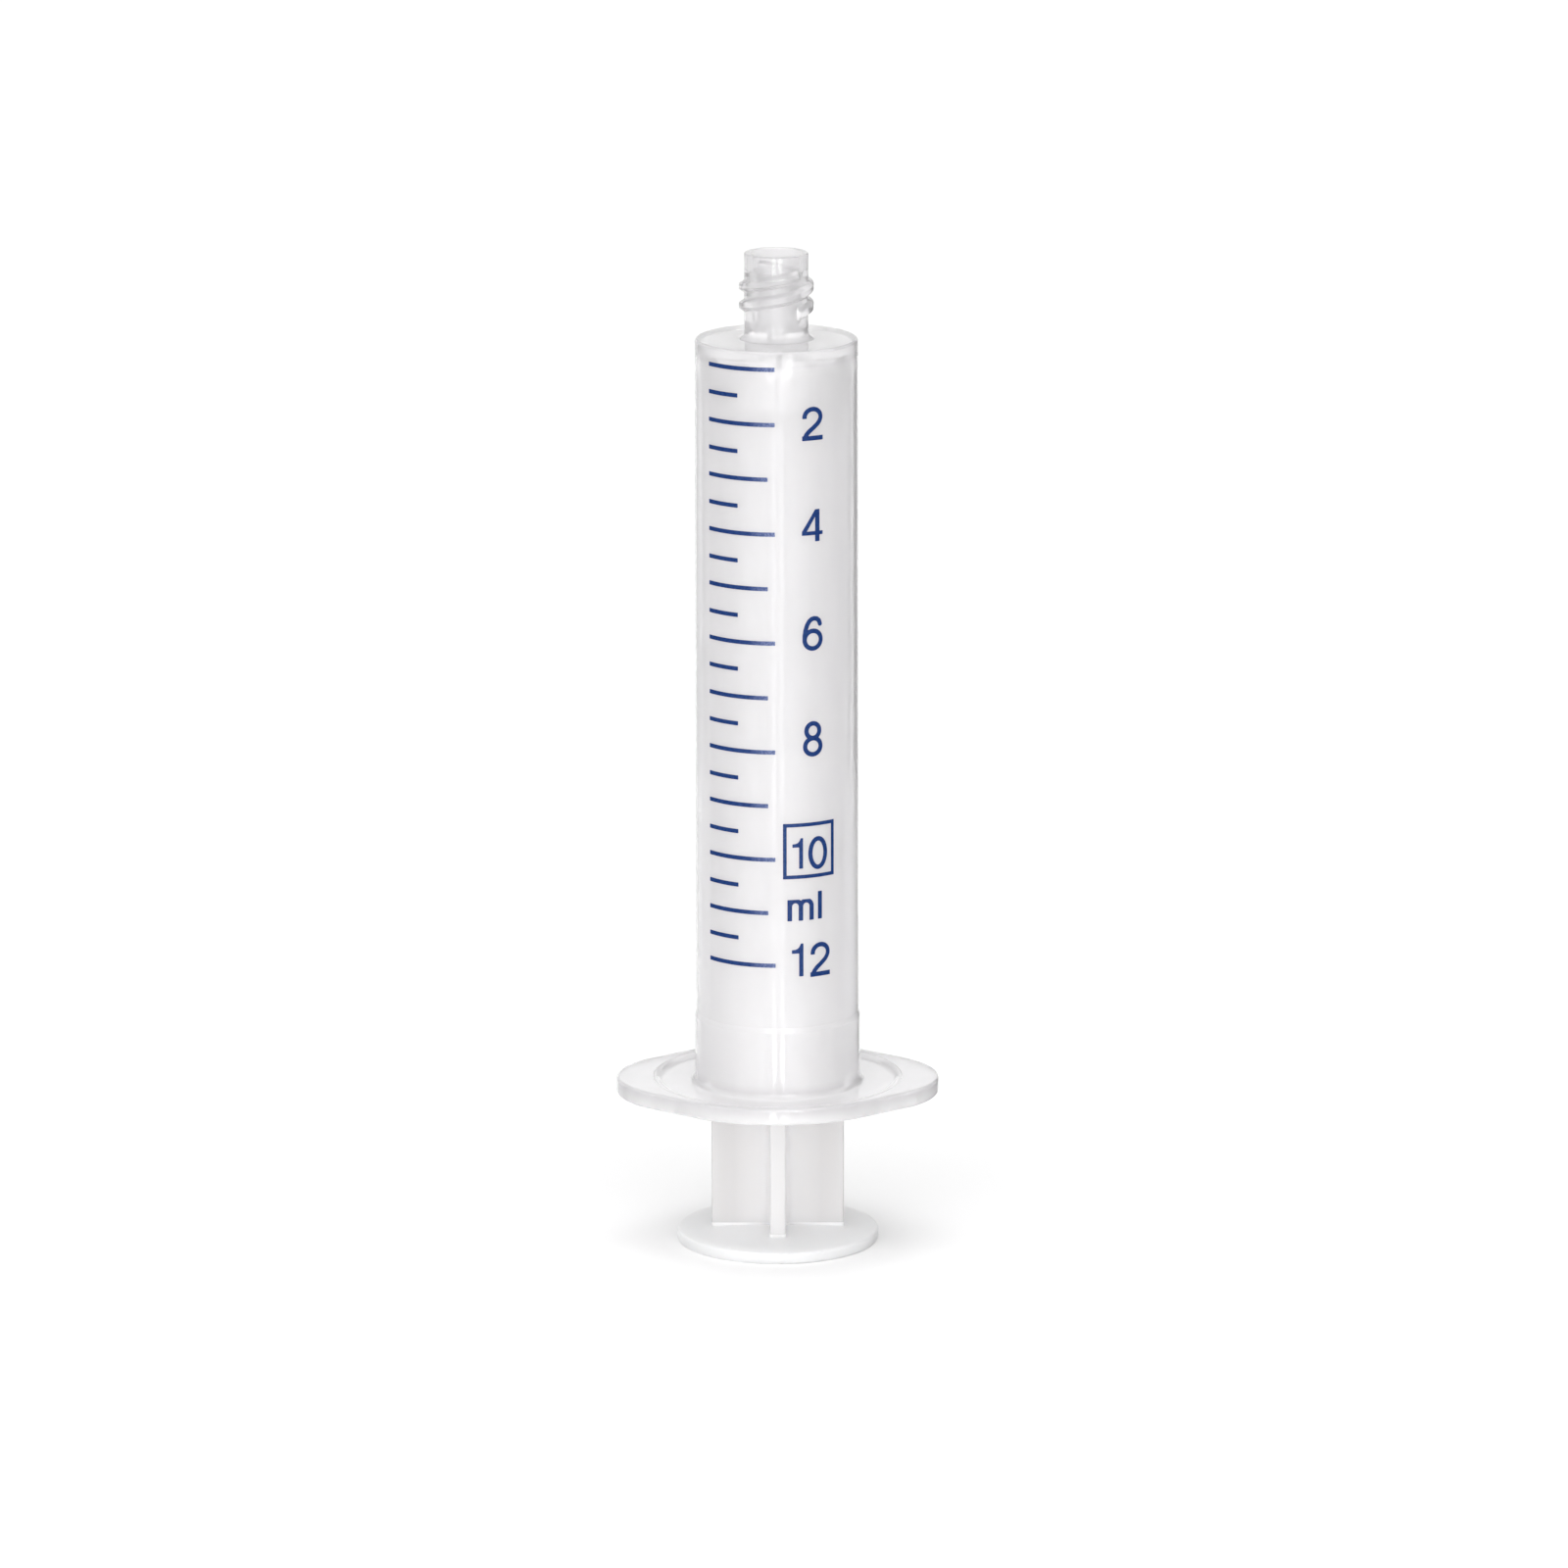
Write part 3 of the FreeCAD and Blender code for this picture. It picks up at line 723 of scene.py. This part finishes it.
# painted reflection: towards the right ends of the long lines, where the strip lights mirror in the ink, the colour is
# mixed towards a lighter blue, broken into fine dots
tc = nt.nodes.new("ShaderNodeTexCoord")
sep = nt.nodes.new("ShaderNodeSeparateXYZ")
nt.links.new(tc.outputs["Object"], sep.inputs[0])
reflection_band_pos = node(nt, "ShaderNodeMapRange")
reflection_band_pos.inputs["From Min"].default_value = -0.0029
reflection_band_pos.inputs["From Max"].default_value = 0.0025
nt.links.new(sep.outputs["X"], reflection_band_pos.inputs["Value"])
painted_reflection_ramp = nt.nodes.new("ShaderNodeValToRGB")
el = painted_reflection_ramp.color_ramp.elements
el[0].position, el[0].color = 0.0, (0, 0, 0, 1)
el[1].position, el[1].color = 1.0, (0, 0, 0, 1)
for pos, h in ((0.20, 0.55), (0.42, 1.0), (0.61, 1.0), (0.64, 0.0)):
    el.new(pos).color = (h, h, h, 1)
nt.links.new(reflection_band_pos.outputs["Result"], painted_reflection_ramp.inputs["Fac"])
dots = node(nt, "ShaderNodeTexVoronoi", Scale=5200.0)
nt.links.new(mapped(nt, (1, 1, 1)), dots.inputs["Vector"])
dr = node(nt, "ShaderNodeMapRange")
dr.inputs["From Min"].default_value = 0.15
dr.inputs["From Max"].default_value = 0.65
dr.inputs["To Min"].default_value = 1.0
dr.inputs["To Max"].default_value = 0.45
nt.links.new(dots.outputs["Distance"], dr.inputs["Value"])
painted_reflection_amount = node(nt, "ShaderNodeMath", operation="MULTIPLY")
nt.links.new(painted_reflection_ramp.outputs["Color"], painted_reflection_amount.inputs[0])
nt.links.new(dr.outputs["Result"], painted_reflection_amount.inputs[1])
mx = nt.nodes.new("ShaderNodeMix")
mx.data_type = "RGBA"
nt.links.new(painted_reflection_amount.outputs[0], mx.inputs["Factor"])
nt.links.new(cr.outputs["Color"], mx.inputs[6])
# lighter blue of the painted reflection
mx.inputs[7].default_value = (0.170, 0.205, 0.370, 1)
nt.links.new(mx.outputs[2], b.inputs["Base Color"])
b.inputs["Roughness"].default_value = 0.14
b.inputs["Specular IOR Level"].default_value = 0.12
ink.data.materials.append(im)

# --------------------------------------------------------------------------
# floor and light
# --------------------------------------------------------------------------
bpy.ops.mesh.primitive_plane_add(size=8.0, location=(0, 0, 0))
floor = bpy.context.object
floor.name = "floor"
fm, nt, b = new_material("floor")
b.inputs["Base Color"].default_value = (0.90, 0.90, 0.90, 1)
b.inputs["Roughness"].default_value = 0.8
b.inputs["Specular IOR Level"].default_value = 0.1
b.inputs["Emission Color"].default_value = (1, 1, 1, 1)
b.inputs["Emission Strength"].default_value = 0.05
floor.data.materials.append(fm)
floor.visible_glossy = False

world = bpy.data.worlds.new("world")
scene.world = world
world.use_nodes = True
nt = world.node_tree
nt.nodes.clear()
wo = nt.nodes.new("ShaderNodeOutputWorld")
bg = nt.nodes.new("ShaderNodeBackground")
tc = nt.nodes.new("ShaderNodeTexCoord")
sep = nt.nodes.new("ShaderNodeSeparateXYZ")
nt.links.new(tc.outputs["Generated"], sep.inputs[0])
side = nt.nodes.new("ShaderNodeMapRange")
side.interpolation_type = "SMOOTHSTEP"
ab = node(nt, "ShaderNodeMath", operation="ABSOLUTE")
off = node(nt, "ShaderNodeMath", operation="ADD")
nt.links.new(sep.outputs["X"], off.inputs[0])
off.inputs[1].default_value = 0.07
nt.links.new(off.outputs[0], ab.inputs[0])
nt.links.new(ab.outputs[0], side.inputs["Value"])
side.inputs["From Min"].default_value = 0.42
side.inputs["From Max"].default_value = 0.92
side.inputs["To Min"].default_value = 1.02
side.inputs["To Max"].default_value = 0.08
fr = node(nt, "ShaderNodeMapRange")
nt.links.new(sep.outputs["Y"], fr.inputs["Value"])
fr.inputs["From Min"].default_value = -0.9
fr.inputs["From Max"].default_value = 0.6
fr.inputs["To Min"].default_value = 2.87
fr.inputs["To Max"].default_value = 1.02
mu = node(nt, "ShaderNodeMath", operation="MULTIPLY")
nt.links.new(side.outputs["Result"], mu.inputs[0])
nt.links.new(fr.outputs["Result"], mu.inputs[1])
up = node(nt, "ShaderNodeMapRange")
nt.links.new(sep.outputs["Z"], up.inputs["Value"])
up.inputs["From Min"].default_value = 0.10
up.inputs["From Max"].default_value = 0.80
up.inputs["To Min"].default_value = 1.0
up.inputs["To Max"].default_value = 0.42
mu2 = node(nt, "ShaderNodeMath", operation="MULTIPLY")
nt.links.new(mu.outputs[0], mu2.inputs[0])
nt.links.new(up.outputs["Result"], mu2.inputs[1])
nt.links.new(mu2.outputs[0], bg.inputs["Strength"])
bg.inputs["Color"].default_value = (1, 1, 1, 1)
nt.links.new(bg.outputs[0], wo.inputs[0])


def area(name, loc, target, size, size_y, power):
    ld = bpy.data.lights.new(name, "AREA")
    ld.shape = "RECTANGLE"
    ld.size, ld.size_y = size, size_y
    ld.energy = power
    lo = bpy.data.objects.new(name, ld)
    link(lo)
    d = Vector(target) - Vector(loc)
    lo.matrix_world = Matrix.Translation(loc) @ d.to_track_quat("-Z", "Y").to_matrix().to_4x4()
    return lo


area("top_softbox", (0.0, 0.0, 3.0), (0, 0, 0.0), 2.3, 2.3, 40.0)


def card(name, x0, x1, y0, y1, z0, z1, strength, gloss=True):
    """Studio card that only shows in the gloss, or only through the clear plastic."""
    me = bpy.data.meshes.new(name)
    me.from_pydata([(x0, y0, z0), (x1, y1, z0), (x1, y1, z1), (x0, y0, z1)], [], [(0, 1, 2, 3)])
    ob = link(bpy.data.objects.new(name, me))
    m = bpy.data.materials.new(name)
    m.use_nodes = True
    t = m.node_tree
    t.nodes.clear()
    o = t.nodes.new("ShaderNodeOutputMaterial")
    e = t.nodes.new("ShaderNodeEmission")
    e.inputs["Strength"].default_value = strength
    t.links.new(e.outputs[0], o.inputs[0])
    me.materials.append(m)
    ob.visible_camera = ob.visible_diffuse = ob.visible_shadow = False
    ob.visible_glossy = gloss
    ob.visible_transmission = not gloss
    return ob


# two tall strips behind the camera, wider where the neck mirrors them, and two dark
# flags behind the object that draw its edges
for part, z0, z1, left, right, power in (("neck", -0.1215, 1.0, (-0.335, -0.038), (0.150, 0.500), 11.5),
                                         ("root", -0.1265, -0.1215, (-0.335, -0.038), (0.150, 0.500), 5.0),
                                         ("tube", -0.280, -0.1290, (-0.143, -0.029), (0.087, 0.202), 6.5),
                                         ("foot", -0.60, -0.2805, (-0.143, -0.029), (0.087, 0.202), 14.0)):
    card("strip_left_" + part, left[0], left[1], -1.2, -1.2, z0, z1, power)
    card("strip_right_" + part, right[0], right[1], -1.2, -1.2, z0, z1, power)
card("flag_left", -0.368, -0.432, 0.338, 0.2515, -0.4, 0.3, 0.0)
card("flag_right", 0.186, 0.368, 0.464, 0.338, -0.4, 0.3, 0.0)
card("flag_left_near", -0.039, -0.0225, 0.060, 0.060, 0.036, 0.0845, 0.25, gloss=False)
card("flag_right_near", 0.0225, 0.040, 0.060, 0.060, 0.036, 0.0845, 0.15, gloss=False)
